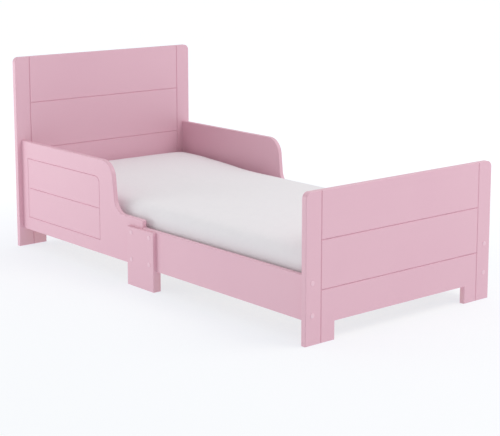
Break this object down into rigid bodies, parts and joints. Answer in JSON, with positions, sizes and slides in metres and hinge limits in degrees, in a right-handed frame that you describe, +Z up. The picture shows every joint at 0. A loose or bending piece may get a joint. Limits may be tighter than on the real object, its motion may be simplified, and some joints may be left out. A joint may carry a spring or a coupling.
{
  "type": "toddler bed",
  "caption": "Low child's bed of painted boards: grooved headboard and footboard, curved guard panels at the head, low rails, centre legs, slats and a mattress.",
  "frame": {"origin": "on the floor, under the middle of the bed", "axes": "+Y along the bed towards the headboard, +X across it to the right of someone who looks from the foot end towards the head, +Z up"},
  "size_m": [0.77, 1.5424, 0.682],
  "materials": {
    "pink_lacquer": "satin pink lacquer on smooth board",
    "bare_pine": "planed, unfinished",
    "beech_dowel": "fluted, unfinished",
    "zinc_steel": "bright zinc plate",
    "cap_plastic": "satin pink",
    "mattress_cover": "smooth white woven cover"
  },
  "bodies": {
    "frame": {"beam_bracket_left": "zinc_steel", "beam_bracket_right": "zinc_steel", "bracket_screws": "zinc_steel", "centre_cross_beam": "bare_pine", "centre_leg_left": "pink_lacquer", "centre_leg_right": "pink_lacquer", "cleat_screws": "zinc_steel", "foot_cleat_left": "bare_pine", "foot_cleat_right": "bare_pine", "foot_rail_left": "pink_lacquer", "foot_rail_right": "pink_lacquer", "footboard_barrel_nuts": "zinc_steel", "footboard_bolt_caps": "cap_plastic", "footboard_bolts": "zinc_steel", "footboard_dowels": "beech_dowel", "footboard_panel": "pink_lacquer", "guard_panel_left": "pink_lacquer", "guard_panel_right": "pink_lacquer", "head_cleat_left": "bare_pine", "head_cleat_right": "bare_pine", "headboard_barrel_nuts": "zinc_steel", "headboard_bolt_caps": "cap_plastic", "headboard_bolts": "zinc_steel", "headboard_dowels": "beech_dowel", "headboard_panel": "pink_lacquer", "leg_bolt_caps": "cap_plastic", "leg_bolts": "zinc_steel", "leg_inserts": "zinc_steel", "slat_01": "bare_pine", "slat_02": "bare_pine", "slat_03": "bare_pine", "slat_04": "bare_pine", "slat_05": "bare_pine", "slat_06": "bare_pine", "slat_07": "bare_pine", "slat_08": "bare_pine", "slat_09": "bare_pine", "slat_10": "bare_pine", "slat_11": "bare_pine", "slat_12": "bare_pine", "slat_13": "bare_pine", "slat_screws": "zinc_steel"},
    "mattress": {"mattress": "mattress_cover"}
  },
  "joints": [
    {"name": "mattress_lift", "type": "slide", "parent": "frame", "child": "mattress", "axis": [0, 0, 1], "range_m": [0, 0.26]}
  ]
}
